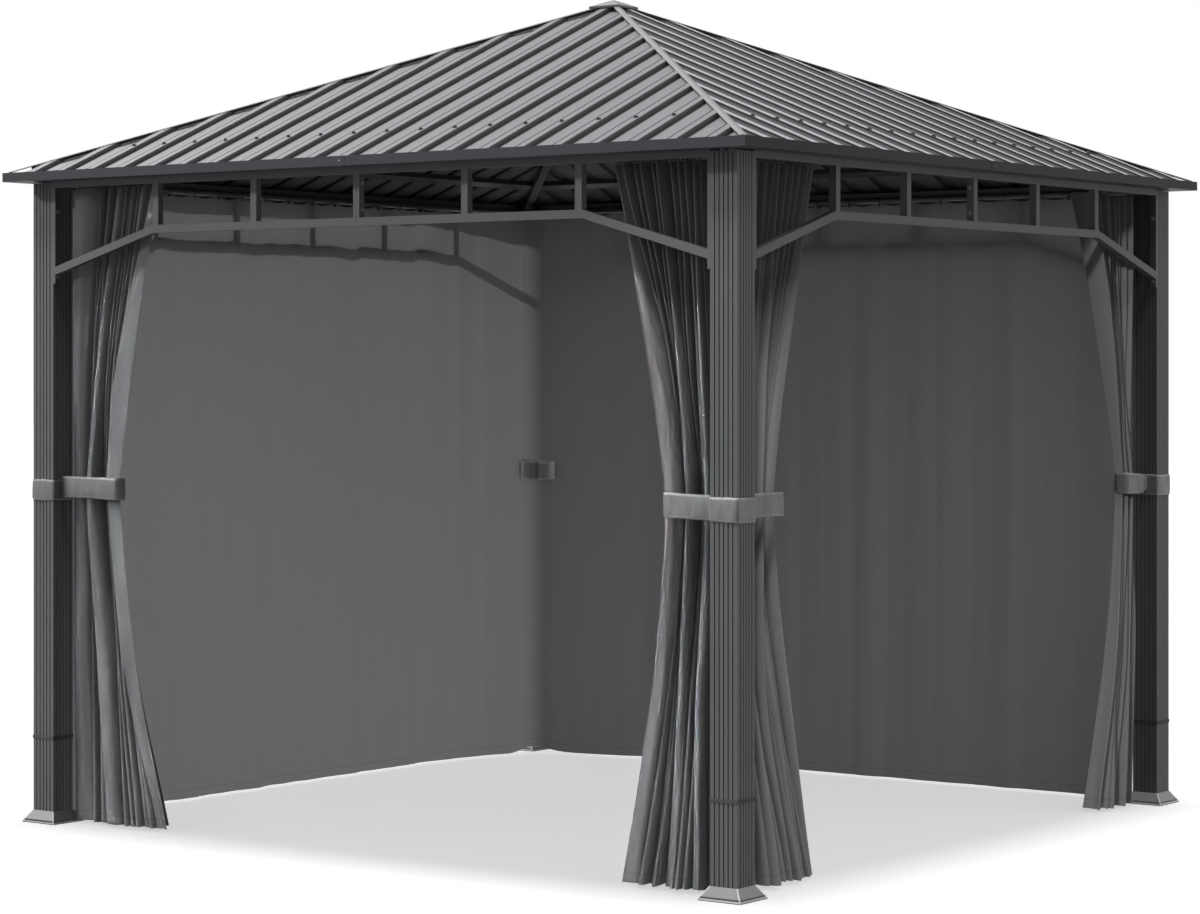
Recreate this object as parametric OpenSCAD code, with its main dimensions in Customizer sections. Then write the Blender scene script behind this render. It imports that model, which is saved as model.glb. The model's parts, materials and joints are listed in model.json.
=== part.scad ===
// Square hardtop gazebo: fluted posts, welded side trusses, a hipped roof of
// ribbed steel sheet and curtains. Millimetres, origin on the ground at the
// middle of the plan, +Z up, front side towards -Y.

/* [Plan and heights] */
// Distance between neighbouring post centres
post_pitch = 2756; // [2200:1:3400]
// Width of a square post
post_w = 94; // [80:1:110]
// Underside of the top beams above the ground
beam_z = 2166; // [1900:1:2500]
// Eave face beyond the outer face of the posts
overhang = 75; // [60:1:160]
// Pitch of the roof slopes in degrees
roof_angle = 22.3; // [15:0.1:30]

/* [Posts] */
// Wall of the post behind a groove
post_wall = 2; // [1.5:0.1:4]
// Grooves down each face of a post
groove_n = 5; // [3:1:6]
// Width of a groove
groove_w = 4; // [2:0.5:6]
// Depth of a groove
groove_d = 3; // [1:0.5:5]
// Height of the middle of the post bands
band_z = 292; // [150:1:600]
// Height of a post band
band_h = 11; // [6:1:30]
// Thickness of a post band
band_t = 1.6; // [1:0.1:4]

/* [Feet] */
// Thickness of a foot plate
foot_t = 4; // [3:0.5:4]
// Radius of an anchor hole
anchor_r = 5.5; // [4:0.5:6]
// Width of a base cover at the ground
cover_w = 148; // [146:1:160]
// Height of a base cover
cover_h = 41; // [30:1:70]
// Height of each step at the foot of a base cover
cover_step_h = 6; // [5.5:0.1:9]
// Set-back of the second step of a base cover
cover_step_in = 4; // [2:0.5:6]
// Wall of a base cover
cover_t = 1.5; // [1:0.1:2]
// Space between a foot plate and the wall of its base cover
foot_clear = 2.5; // [0.5:0.5:6]

/* [Trusses] */
// Height of a top beam
beam_h = 50; // [40:1:60]
// Depth of the truss tubes, front to back
truss_d = 25; // [18:1:28]
// Height of the lower chord
chord_h = 26; // [18:1:40]
// Width of a strut
strut_w = 25; // [15:1:40]
// Distance between struts
strut_pitch = 430; // [330:1:480]
// Clear height between the top beam and the lower chord
truss_gap = 139; // [90:1:220]
// Fall of the lower chord from its bend to the post
chord_drop = 130; // [60:1:220]
// Thickness of the plate that bolts a truss to a post
end_plate_t = 9; // [4:0.5:14]
// Length of that plate below the chord
end_plate_tail = 30; // [10:1:80]

/* [Roof] */
// Height of the fascia face
fascia_h = 31; // [30:1:60]
// Underside of the fascia above the underside of the top beams
fascia_rise = 22; // [10:1:26]
// Wall of the fascia channel
fascia_t = 2; // [1:0.1:3]
// Height of the inner flange of the fascia channel
fascia_back_h = 24; // [12:1:28]
// Underside of the roof sheet below the top of the fascia, at the eave
sheet_drop = 18; // [17:0.5:22]
// Thickness of the roof sheet
sheet_t = 1; // [0.6:0.1:1.5]
// Distance between ribs of the roof sheet
rib_pitch = 137.5; // [100:0.5:220]
// Width of the top of a rib
rib_top = 34; // [20:1:45]
// Width of each sloping side of a rib
rib_side = 9; // [4:1:15]
// Height of a rib
rib_h = 12.5; // [8:0.5:14]
// Width of each half of a hip cap
hip_arm = 13; // [12:1:50]
// Thickness of the hip caps and the apex cap
cap_t = 1.6; // [1:0.1:3]
// Width of the apex cap
apex_w = 124; // [110:1:240]
// Height of the rim of the apex cap
apex_rim = 6; // [3:0.5:15]
// Width of a hip rafter
rafter_w = 30; // [20:1:34]
// Height of a hip rafter
rafter_h = 40; // [30:1:44]
// Distance of the purlins from the eave face
purlin_in = 234; // [180:1:500]
// Width of a purlin along the slope
purlin_w = 40; // [20:1:60]
// Height of a purlin
purlin_h = 20; // [15:1:40]
// Width of the hub that the rafters meet at
hub_w = 60; // [40:1:80]
// Height of that hub
hub_h = 70; // [65:1:120]
// Thickness of the saddle that holds a rafter on its post
saddle_t = 3; // [2:0.5:3]

/* [Curtains] */
// Radius of a curtain pole
pole_r = 10; // [6:0.5:10]
// Middle of the curtain poles above the underside of the top beams
pole_rise = 19; // [15:1:40]
// Hem of the curtains above the ground
hem_z = 10; // [4:1:60]
// Thickness of a closed curtain
cloth_t = 4; // [2:0.5:6]
// Width of one fold of a closed curtain
fold_pitch = 131; // [90:1:260]
// Depth of the folds of a closed curtain, to each side of its pole
fold_a = 12; // [6:1:14]
// Space between a closed curtain and the base covers
closed_clear = 2; // [1:0.5:20]
// Length over which a closed curtain leaves its pole to pass inside the corner post
wrap_l = 210; // [160:1:400]
// Middle of the tiebacks above the ground
tie_z = 1141; // [800:1:1500]
// Width of a tieback strap
strap_h = 75; // [40:1:110]
// Thickness of a tieback strap
strap_t = 2.5; // [1.5:0.5:4]
// Width of a tied curtain at its strap
tie_w = 160; // [110:1:200]
// Depth of a tied curtain at its strap
tie_d = 88; // [60:1:110]
// Width of a tied curtain at the pole
top_w = 370; // [250:1:450]
// Depth of a tied curtain at the pole
top_d = 42; // [30:1:60]
// Width of a tied curtain at its hem
hem_w = 360; // [250:1:450]
// Depth of a tied curtain at its hem
hem_d = 110; // [60:1:140]
// Space between the post and a tied curtain at its strap
tie_gap = 36; // [6:1:60]
// Space between a base cover and the hem of a tied curtain
hem_clear = 28; // [2:1:60]

/* [Hidden] */
$fn = 48;
// Clearance between pieces that seat on each other
fit = 0.3;
// Half of the open joint between two halves of a truss or fascia
joint_half = 0.5;
// Overshoot of cutting solids
over = 1;

post_off = post_pitch / 2;
post_face = post_off + post_w / 2;
post_inner = post_off - post_w / 2;
roof_half = post_face + overhang;

fascia_z = beam_z + fascia_rise;
fascia_top = fascia_z + fascia_h;
sheet_eave_z = fascia_top - sheet_drop;
apex_z = sheet_eave_z + roof_half * tan(roof_angle);
slope_len = roof_half / cos(roof_angle);
hip_angle = atan(tan(roof_angle) / sqrt(2));
// Angle of each half of a hip cap, seen along the hip
hip_fall = atan(sin(hip_angle));
hip_gap = 3;
// Ridge of a hip cap above the hip line of the sheet's underside
hip_cap_rise = (rib_h + sheet_t + fit) / cos(roof_angle) + cap_t / cos(hip_fall) / cos(hip_angle);
rib_n = floor((roof_half - rib_top) / rib_pitch);

foot_w = cover_w - 2 * (cover_t + foot_clear);
// Anchor holes halfway between the faces of the post and the edges of the foot plate
anchor_pitch = (post_w + foot_w) / 2;

beam_top = beam_z + beam_h;
chord_top = beam_z - truss_gap;
truss_end = post_inner - fit;
bend_x = 2 * strut_pitch;

// The rafter's underside clears the outer edge of its saddle
rafter_end = post_off + post_w / 4;
saddle_top = sheet_eave_z + (roof_half - rafter_end) * tan(roof_angle)
    - (rafter_h + fit) / cos(hip_angle) - rafter_w / 2 - fit;
post_top = saddle_top - saddle_t;
cheek_top = saddle_top + 30;

pole_z = beam_z + pole_rise;
cloth_top = pole_z - pole_r - fit;
tied_outer = -(post_face - truss_d - 2);
// Middle of the closed curtains where they pass inside the back left post
inner_off = post_off - cover_w / 2 - closed_clear - fold_a - cloth_t / 2;
// Ends of the closed curtains: in the corner, before the curtain in the corner, beside a base cover
slit = 8;
closed_corner = inner_off + fold_a;
closed_meet = inner_off - fold_a - cloth_t / 2 - slit;
closed_side = post_off - cover_w / 2 - closed_clear;
// Space between the post and a tied curtain at its pole and hem
end_gap = (cover_w - post_w) / 2 + hem_clear;

frame_colour = "#4a4d50";
sheet_colour = "#9c9b9f";
cover_colour = "#8f9092";
cloth_colour = "#6a6a6a";
strap_colour = "#808080";

// Sides and corners: 0 front or front right, then counter-clockwise from above
module side(i) {
    rotate([0, 0, 90 * i]) children();
}

module at_post(i) {
    side(i) translate([post_off, -post_off, 0]) children();
}

module left_half() {
    mirror([1, 0, 0]) children();
}

// A half outline given from the ground up, mirrored into a whole one
function mirrored(half) = concat(half, [for (i = [len(half) - 1:-1:0]) [-half[i][0], half[i][1]]]);

// One outline run along both axes of the plan: a square piece with mitred corners
module square_turned(outline, length) {
    intersection() {
        rotate([90, 0, 0]) translate([0, 0, -length / 2]) linear_extrude(length) polygon(outline);
        rotate([90, 0, 90]) translate([0, 0, -length / 2]) linear_extrude(length) polygon(outline);
    }
}

// Posts

// Outline of one face with its grooves, from one corner to the next
function fluted_face() = [
    for (k = [0:groove_n - 1])
        let (x = -post_w / 2 + (k + 1) * post_w / (groove_n + 1))
            each [
                [x - groove_w / 2, -post_w / 2],
                [x - groove_w / 2, -post_w / 2 + groove_d],
                [x + groove_w / 2, -post_w / 2 + groove_d],
                [x + groove_w / 2, -post_w / 2]
            ]
];

function turned(p, a) = [p[0] * cos(a) - p[1] * sin(a), p[0] * sin(a) + p[1] * cos(a)];

module post() {
    outline = [
        for (q = [0:3])
            each [
                turned([-post_w / 2, -post_w / 2], 90 * q),
                for (p = fluted_face()) turned(p, 90 * q)
            ]
    ];
    hollow = post_w - 2 * (groove_d + post_wall);
    color(frame_colour) translate([0, 0, foot_t]) linear_extrude(post_top - foot_t) difference() {
        polygon(outline);
        square(hollow, center = true);
    }
}

module post_band() {
    inner = post_w + 2 * fit;
    color(frame_colour) translate([0, 0, band_z - band_h / 2]) linear_extrude(band_h) difference() {
        square(inner + 2 * band_t, center = true);
        square(inner, center = true);
    }
}

module post_bands() {
    for (i = [0:3]) at_post(i) post_band();
}

// Feet

module foot_plate() {
    color(frame_colour) linear_extrude(foot_t) difference() {
        square(foot_w, center = true);
        for (sx = [-1, 1], sy = [-1, 1])
            translate([sx * anchor_pitch / 2, sy * anchor_pitch / 2]) circle(anchor_r);
    }
}

module foot_plates() {
    for (i = [0:3]) at_post(i) foot_plate();
}

// A stepped foot and a slope that closes on the post
module base_cover() {
    foot = cover_w / 2;
    second = foot - cover_step_in;
    third = second - cover_step_in / 2;
    collar = post_w / 2 + fit + cover_t;
    outer = mirrored([
        [foot, 0],
        [foot, cover_step_h],
        [second, cover_step_h],
        [second, 2 * cover_step_h],
        [third, 2 * cover_step_h],
        [collar, cover_h]
    ]);
    inner = mirrored([
        [foot - cover_t, -over],
        [foot - cover_t, cover_step_h - cover_t],
        [second - cover_t, cover_step_h - cover_t],
        [second - cover_t, 2 * cover_step_h - cover_t],
        [third - cover_t, 2 * cover_step_h - cover_t],
        [collar - cover_t, cover_h - cover_t],
        [collar - cover_t, cover_h + over]
    ]);
    color(cover_colour) difference() {
        square_turned(outer, cover_w);
        square_turned(inner, cover_w + 2 * over);
    }
}

// Trusses

// The half of the front truss to the right of the middle, welded in one
module truss_half() {
    plate_x = truss_end - end_plate_t;
    bend = bend_x + strut_w / 2;
    fall = atan(chord_drop / (plate_x - bend));
    chord_bottom = chord_top - chord_h;
    chord_end = chord_top - chord_drop;
    chord_end_bottom = chord_end - chord_h / cos(fall);
    color(frame_colour) translate([0, truss_d - post_face, 0]) rotate([90, 0, 0]) linear_extrude(truss_d)
    difference() {
        polygon([
            [joint_half, beam_top],
            [truss_end, beam_top],
            [truss_end, chord_end_bottom - end_plate_tail],
            [plate_x, chord_end_bottom - end_plate_tail],
            [plate_x, chord_end_bottom],
            [bend, chord_bottom],
            [joint_half, chord_bottom]
        ]);
        for (k = [0:1])
            translate([k * strut_pitch + strut_w / 2, chord_top]) square([strut_pitch - strut_w, truss_gap]);
        polygon([
            [bend, chord_top],
            [plate_x, chord_end],
            [plate_x, beam_z],
            [bend, beam_z]
        ]);
    }
}

// Roof

// Prism over one slope's triangle of the plan, set back from the hips and the eave
module slope_plan(hip_back, eave_y, tip_y) {
    in = hip_back * sqrt(2);
    translate([0, 0, beam_z]) linear_extrude(apex_z) polygon([
        [tip_y - in, -tip_y],
        [-(tip_y - in), -tip_y],
        [-(eave_y - in), -eave_y],
        [eave_y - in, -eave_y]
    ]);
}

// Frame of the front slope: X along the eave, Y out of the sheet, Z down from the apex
module on_slope() {
    translate([0, 0, apex_z]) rotate([90 + roof_angle, 0, 0]) children();
}

// Upper line of the sheet's section, rib after rib
function rib_line(lift) = [
    for (k = [-rib_n:rib_n])
        each [
            [k * rib_pitch - rib_top / 2 - rib_side, lift],
            [k * rib_pitch - rib_top / 2, lift + rib_h],
            [k * rib_pitch + rib_top / 2, lift + rib_h],
            [k * rib_pitch + rib_top / 2 + rib_side, lift]
        ]
];

function reversed(points) = [for (i = [len(points) - 1:-1:0]) points[i]];

module roof_panel() {
    tip_y = hub_w / 2;
    color(sheet_colour) intersection() {
        on_slope() linear_extrude(slope_len + over) polygon(concat(
            [[-roof_half, 0]], rib_line(0), [[roof_half, 0]],
            [[roof_half, sheet_t]], reversed(rib_line(sheet_t)), [[-roof_half, sheet_t]]
        ));
        slope_plan(hip_gap, roof_half - fascia_t - fit, tip_y);
    }
}

// Two folded halves along the hip, lying on the tops of the ribs
module hip_cap() {
    reach = roof_half * sqrt(2) / cos(hip_angle);
    eave_end = (fascia_t + hip_arm) * sqrt(2);
    arm = [hip_arm * cos(hip_fall), -hip_arm * sin(hip_fall)];
    thick = cap_t / cos(hip_fall);
    color(sheet_colour) side(0) translate([0, 0, apex_z + hip_cap_rise]) rotate([90 + hip_angle, 0, 45])
    translate([0, 0, hub_w / 2]) linear_extrude(reach - eave_end - hub_w / 2) polygon([
        [0, 0],
        [-arm[0], arm[1]],
        [-arm[0], arm[1] - thick],
        [0, -thick],
        [arm[0], arm[1] - thick],
        arm
    ]);
}

// Shallow pyramid with a rim, lying on the tops of the hip caps
module apex_cap() {
    rest_z = hip_cap_rise + cap_t * tan(roof_angle) + fit + apex_rim;
    half = apex_w / 2;
    fall = half * tan(roof_angle);
    thick = cap_t / cos(roof_angle);
    outer = mirrored([
        [half, -fall - apex_rim],
        [half, -fall + thick],
        [0, thick]
    ]);
    inner = mirrored([
        [half - cap_t, -fall - apex_rim - over],
        [half - cap_t, -fall + cap_t * tan(roof_angle)],
        [0, 0]
    ]);
    color(sheet_colour) translate([0, 0, apex_z + rest_z]) difference() {
        square_turned(outer, apex_w);
        square_turned(inner, apex_w);
    }
}

// Eave channel with a mitre at each corner and a joint in the middle
module fascia() {
    back = post_face + fit;
    section = [
        [-roof_half, fascia_z],
        [-roof_half, fascia_top],
        [-roof_half + fascia_t, fascia_top],
        [-roof_half + fascia_t, fascia_z + fascia_t],
        [-back - fascia_t, fascia_z + fascia_t],
        [-back - fascia_t, fascia_z + fascia_back_h],
        [-back, fascia_z + fascia_back_h],
        [-back, fascia_z]
    ];
    for (hand = [0, 1]) mirror([hand, 0, 0]) color(frame_colour) intersection() {
        rotate([90, 0, 90]) linear_extrude(roof_half) polygon(section);
        translate([0, 0, fascia_z - over]) linear_extrude(fascia_h + 2 * over) polygon([
            [joint_half, -roof_half - over],
            [roof_half + over - fit, -roof_half - over],
            [post_face - over - fit, -post_face + over],
            [joint_half, -post_face + over]
        ]);
    }
}

// Tube under each hip, its top sloped to both sheets
module hip_rafters() {
    edge = rafter_w / 2;
    drop = edge * tan(hip_fall);
    reach = rafter_end * sqrt(2) / cos(hip_angle);
    color(frame_colour) difference() {
        for (i = [0:3]) side(i) translate([0, 0, apex_z]) rotate([90 + hip_angle, 0, 45])
            linear_extrude(reach) polygon([
                [0, -fit],
                [-edge, -fit - drop],
                [-edge, -fit - rafter_h],
                [edge, -fit - rafter_h],
                [edge, -fit - drop]
            ]);
        translate([0, 0, apex_z]) rotate([0, 0, 45])
            cube([hub_w + 2 * fit, hub_w + 2 * fit, 4 * hub_h], center = true);
    }
}

module apex_hub() {
    top = apex_z - hub_w / sqrt(2) * tan(roof_angle) - fit;
    color(frame_colour) translate([0, 0, top - hub_h / 2]) rotate([0, 0, 45])
        cube([hub_w, hub_w, hub_h], center = true);
}

// One tube across each slope, from rafter to rafter
module purlins() {
    down = (roof_half - purlin_in) / cos(roof_angle);
    color(frame_colour) for (i = [0:3]) side(i) intersection() {
        on_slope() translate([-roof_half, -fit - purlin_h, down - purlin_w / 2])
            cube([2 * roof_half, purlin_h, purlin_w]);
        slope_plan(rafter_w / 2 + fit, roof_half, hub_w / 2);
    }
}

// Plate on the post with a cheek on each side of the rafter
module rafter_saddle() {
    cheek_l = post_w * 0.6;
    color(frame_colour) union() {
        translate([-post_w / 2, -post_w / 2, post_top]) cube([post_w, post_w, saddle_t]);
        rotate([0, 0, 45]) for (hand = [0, 1]) mirror([hand, 0, 0])
            translate([rafter_w / 2 + fit, -cheek_l / 2, post_top])
                cube([saddle_t, cheek_l, cheek_top - post_top]);
    }
}

module rafter_saddles() {
    for (i = [0:3]) at_post(i) rafter_saddle();
}

// Curtains

module curtain_poles() {
    reach = 2 * (post_inner - fit);
    color(frame_colour) for (i = [0:3]) side(i)
        translate([0, -post_off, pole_z]) rotate([0, 90, 0]) cylinder(r = pole_r, h = reach, center = true);
}

// Distance of a closed curtain from the middle of the plan, where it leaves its pole for the corner
function eased(t) = t * t * (3 - 2 * t);
function wrapped_off(x) =
    let (t = min(max((x - inner_off) / wrap_l + 1, 0), 1))
    post_off - (post_off - inner_off) * eased(t);

// Drawn curtain to the right of the middle: one wave for each fold
module closed_curtain(to, wraps) {
    from = 5;
    width = to - from;
    folds = round(width / fold_pitch);
    steps = 8 * folds;
    function wave(i, shift) =
        let (
            x = from + width * i / steps,
            off = wraps ? wrapped_off(x) : post_off
        )
        [x, -off - fold_a * cos(360 * folds * i / steps) + shift];
    color(cloth_colour) translate([0, 0, hem_z]) linear_extrude(cloth_top - hem_z) polygon(concat(
        [for (i = [0:steps]) wave(i, -cloth_t / 2)],
        [for (i = [steps:-1:0]) wave(i, cloth_t / 2)]
    ));
}

// Tied curtain beside the right post: wide at the pole and the hem, narrow at the strap.
// Each ring is a rounded box with a shallow fold every few points.
tied_sides = 44;
tied_folds = 11;
tied_steps = 5;
tied_rings = 2 * tied_steps + 1;
fold_share = 0.07;

function blend(a, b, t) = a + (b - a) * t;
function rounded(c) = sign(c) * pow(abs(c), 0.7);

// Rings k are counted from the hem: the first tied_steps end under the strap, the rest start over it
function below_strap(k) = k <= tied_steps;
function tied_spread(k) = (below_strap(k) ? tied_steps - k : k - tied_steps - 1) / tied_steps;
function tied_level(k) = below_strap(k)
    ? blend(tie_z - strap_h / 2 - fit, hem_z, tied_spread(k))
    : blend(tie_z + strap_h / 2 + fit, cloth_top, tied_spread(k));

function tied_ring(k) =
    let (
        t = tied_spread(k),
        w = blend(tie_w, below_strap(k) ? hem_w : top_w, t),
        d = blend(tie_d, below_strap(k) ? hem_d : top_d, t),
        gap = blend(tie_gap, end_gap, t),
        x = post_inner - gap - w / 2,
        y = tied_outer + d / 2
    )
    [
        for (i = [0:tied_sides - 1])
            let (
                a = 360 * i / tied_sides,
                r = 1 - fold_share * (1 - cos(a * tied_folds))
            )
            [x + w / 2 * rounded(cos(a)) * r, y + d / 2 * rounded(sin(a)) * r, tied_level(k)]
    ];

module tied_curtain() {
    n = tied_sides;
    points = [for (k = [0:tied_rings]) each tied_ring(k)];
    walls = [
        for (k = [0:tied_rings - 1], i = [0:n - 1])
            let (j = (i + 1) % n)
                each [
                    [k * n + i, (k + 1) * n + i, (k + 1) * n + j],
                    [k * n + i, (k + 1) * n + j, k * n + j]
                ]
    ];
    hem = [for (i = [0:n - 1]) i];
    head = [for (i = [n - 1:-1:0]) tied_rings * n + i];
    color(cloth_colour) polyhedron(points, concat([hem], walls, [head]), convexity = 6);
}

// Corner of a convex outline moved out by a strap's thickness
function unit(v) = v / norm(v);
function outward(points, i, by) =
    let (
        n = len(points),
        a = unit(points[i] - points[(i + n - 1) % n]),
        b = unit(points[(i + 1) % n] - points[i]),
        m = [a[1], -a[0]],
        k = [b[1], -b[0]]
    )
    points[i] + by * (m + k) / (1 + m * k);

// Flat loop of strap from x = 0, lying along +X
module strap_loop(length, depth) {
    module stadium(by) {
        translate([depth / 2, -depth / 2 - by]) square([length - depth, depth + 2 * by]);
        for (x = [depth / 2, length - depth / 2]) translate([x, 0]) circle(depth / 2 + by);
    }
    difference() {
        stadium(0);
        stadium(-strap_t);
    }
}

// Bow of a strap that holds no curtain: two loops inside the closed curtains, on a stem through their slit
module strap_bow() {
    across = post_off - closed_meet - slit / 2;
    behind = post_off - closed_corner - closed_clear;
    front = post_off - inner_off + fold_a + cloth_t / 2 + fit;
    near = post_w / 2 + 2 * fit + strap_t / 2;
    loop_l = 116;
    loop_d = 34;
    stem = strap_t + 1;
    polygon([
        [-near - stem / 2, near - stem / 2],
        [-near + stem / 2, near + stem / 2],
        [-across + stem / 2, behind],
        [-across + stem / 2, front + loop_d],
        [-across - stem / 2, front + loop_d],
        [-across - stem / 2, behind - stem]
    ]);
    translate([-across, front + loop_d / 2]) rotate(180) strap_loop(loop_l, loop_d);
    translate([-front - loop_d / 2, front + loop_d / 2]) rotate(90) strap_loop(loop_l + loop_d / 2, loop_d);
}

// Strap round a post and the curtains tied to it, on its front side or its right side
module tieback(on_front, on_right) {
    near = post_w / 2 + 2 * fit;
    far = post_w / 2 + tie_gap + tie_w + fit;
    inner = tied_outer + tie_d + post_off + fit;
    outer = tied_outer + post_off - fit;
    start = post_w / 2 + tie_gap;
    loop = concat(
        [[near, -near]],
        on_right ? [[near, near], [-outer, far], [-inner, far], [-inner, start]] : [[near, near]],
        on_right && !on_front ? [[-near, -near]] : [],
        on_front ? [[-start, inner]] : [],
        on_front ? [[-far, inner], [-far, outer], [-near, -near]] : [],
        !on_front && !on_right ? [[-near, near], [-near, -near]] : []
    );
    color(strap_colour) translate([0, 0, tie_z - strap_h / 2]) linear_extrude(strap_h) difference() {
        union() {
            polygon([for (i = [0:len(loop) - 1]) outward(loop, i, strap_t)]);
            if (!on_front && !on_right) strap_bow();
        }
        polygon(loop);
    }
}

module tiebacks() {
    at_post(0) tieback(true, true);
    at_post(1) tieback(true, false);
    at_post(2) tieback(false, false);
    at_post(3) tieback(false, true);
}

at_post(3) post();  // front_left_post
at_post(0) post();  // front_right_post
at_post(1) post();  // back_right_post
at_post(2) post();  // back_left_post
at_post(3) base_cover();  // front_left_base_cover
at_post(0) base_cover();  // front_right_base_cover
at_post(1) base_cover();  // back_right_base_cover
at_post(2) base_cover();  // back_left_base_cover
foot_plates();
post_bands();
side(0) left_half() truss_half();  // front_truss_left
side(0) truss_half();  // front_truss_right
side(1) left_half() truss_half();  // right_truss_front
side(1) truss_half();  // right_truss_back
side(2) left_half() truss_half();  // back_truss_right
side(2) truss_half();  // back_truss_left
side(3) left_half() truss_half();  // left_truss_back
side(3) truss_half();  // left_truss_front
side(0) fascia();  // front_fascia
side(1) fascia();  // right_fascia
side(2) fascia();  // back_fascia
side(3) fascia();  // left_fascia
side(0) roof_panel();  // front_roof_panel
side(1) roof_panel();  // right_roof_panel
side(2) roof_panel();  // back_roof_panel
side(3) roof_panel();  // left_roof_panel
side(3) hip_cap();  // front_left_hip_cap
side(0) hip_cap();  // front_right_hip_cap
side(1) hip_cap();  // back_right_hip_cap
side(2) hip_cap();  // back_left_hip_cap
apex_cap();
hip_rafters();
apex_hub();
purlins();
rafter_saddles();
curtain_poles();
side(0) left_half() tied_curtain();  // front_left_curtain
side(0) tied_curtain();  // front_right_curtain
side(1) left_half() tied_curtain();  // right_front_curtain
side(1) tied_curtain();  // right_back_curtain
side(2) left_half() closed_curtain(closed_side, false);  // back_right_curtain
side(2) closed_curtain(closed_meet, true);  // back_left_curtain
side(3) left_half() closed_curtain(closed_corner, true);  // left_back_curtain
side(3) closed_curtain(closed_side, false);  // left_front_curtain
tiebacks();
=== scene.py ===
import json
import math
import bpy
import numpy as np
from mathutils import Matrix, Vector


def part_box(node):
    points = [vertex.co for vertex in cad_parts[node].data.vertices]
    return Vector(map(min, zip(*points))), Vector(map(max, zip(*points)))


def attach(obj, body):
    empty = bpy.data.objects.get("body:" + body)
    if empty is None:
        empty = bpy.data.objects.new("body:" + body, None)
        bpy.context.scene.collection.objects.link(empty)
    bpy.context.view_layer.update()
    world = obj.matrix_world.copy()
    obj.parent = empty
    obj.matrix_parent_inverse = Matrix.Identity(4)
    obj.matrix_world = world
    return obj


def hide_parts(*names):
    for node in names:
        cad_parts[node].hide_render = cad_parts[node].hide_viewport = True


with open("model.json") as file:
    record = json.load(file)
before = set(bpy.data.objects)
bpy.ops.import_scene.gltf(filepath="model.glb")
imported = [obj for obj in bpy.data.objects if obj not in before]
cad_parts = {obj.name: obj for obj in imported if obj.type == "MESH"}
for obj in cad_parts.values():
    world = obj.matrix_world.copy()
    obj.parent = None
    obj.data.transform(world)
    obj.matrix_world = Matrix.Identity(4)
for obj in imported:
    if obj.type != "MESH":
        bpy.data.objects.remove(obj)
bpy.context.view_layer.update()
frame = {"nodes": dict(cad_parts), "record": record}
nodes = frame["nodes"]
print("frame loaded,", len(nodes), "nodes")

# Sizes read from the solids, in metres. Sides are counted 0 front, 1 right, 2 back, 3 left.
postLow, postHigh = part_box("front_right_post")
postHalf = (postHigh.x - postLow.x) / 2
postOff = postHigh.x - postHalf
postInner = postOff - postHalf
poleLow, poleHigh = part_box("curtain_poles")
poleR = (poleHigh.z - poleLow.z) / 2
poleZ = poleLow.z + poleR
strapLow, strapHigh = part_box("tiebacks")
strapZ = (strapLow.z + strapHigh.z) / 2
strapMiddle = 0.2       # the line on a strap's cut that runs along its middle
fasciaLow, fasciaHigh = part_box("front_fascia")
roofHalf = -fasciaLow.y
trussLow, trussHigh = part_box("front_truss_right")
tau = 2 * math.pi
scene = bpy.context.scene


def linear(hexColour):
    # sRGB to linear: c / 12.92 when dark, else ((c + 0.055) / 1.055) to the power 2.4
    c = np.array([int(hexColour[i:i + 2], 16) for i in (1, 3, 5)]) / 255
    return tuple(np.where(c <= 0.04045, c / 12.92, ((c + 0.055) / 1.055) ** 2.4)) + (1.0,)


def addNode(tree, kind, settings=None):
    # settings holds properties, values and sockets to join, in the order they are set
    made = tree.nodes.new("ShaderNode" + kind)
    for key, value in (settings or {}).items():
        if isinstance(value, bpy.types.NodeSocket):
            tree.links.new(value, made.inputs[key])
        elif isinstance(key, int) or key in made.inputs.keys():
            made.inputs[key].default_value = value
        else:
            setattr(made, key, value)
    return made


def newMaterial(name):
    made = bpy.data.materials.new(name)
    made.use_nodes = True
    made.node_tree.nodes.clear()
    return made, made.node_tree


def maths(tree, operation, *values):
    # one step of arithmetic on numbers and sockets
    return addNode(tree, "Math", {"operation": operation, **dict(enumerate(values))}).outputs[0]


def apart(tree, first, second):
    return maths(tree, "ABSOLUTE", maths(tree, "SUBTRACT", first, second))


def ranged(tree, value, low, high, start=0.0, end=1.0, easing="LINEAR"):
    # start to end becomes low to high
    return addNode(tree, "MapRange", {"interpolation_type": easing, "Value": value, "From Min": start,
                                      "From Max": end, "To Min": low, "To Max": high}).outputs[0]


def blended(tree, share, first, second):
    # the first colour where the share is 0, the second where it is 1
    return addNode(tree, "Mix", {"data_type": "RGBA", 0: share, 6: first, 7: second}).outputs[2]


def swung(tree, value, middle, swing):
    # 0 to 1 becomes the middle less or plus the swing
    return ranged(tree, value, middle - swing, middle + swing)


def shaded(tree, colour, factor):
    return addNode(tree, "VectorMath", {"operation": "MULTIPLY", 0: colour, 1: factor}).outputs[0]


def noise(tree, place, size, detail=2):
    return addNode(tree, "TexNoise", {"Scale": 1 / size, "Detail": detail, "Vector": place}).outputs[0]


def bumped(tree, height, strength, depth):
    return addNode(tree, "Bump", {"Strength": strength, "Distance": depth, "Height": height}).outputs[0]


def surfaced(made, shader):
    addNode(made.node_tree, "OutputMaterial", {"Surface": shader.outputs[0]})
    return made


def smooth(u):
    # from 0 to 1 without a kink at either end: u squared times (3 - 2 u)
    u = np.clip(u, 0, 1)
    return u * u * (3 - 2 * u)


# Shapes

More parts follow.
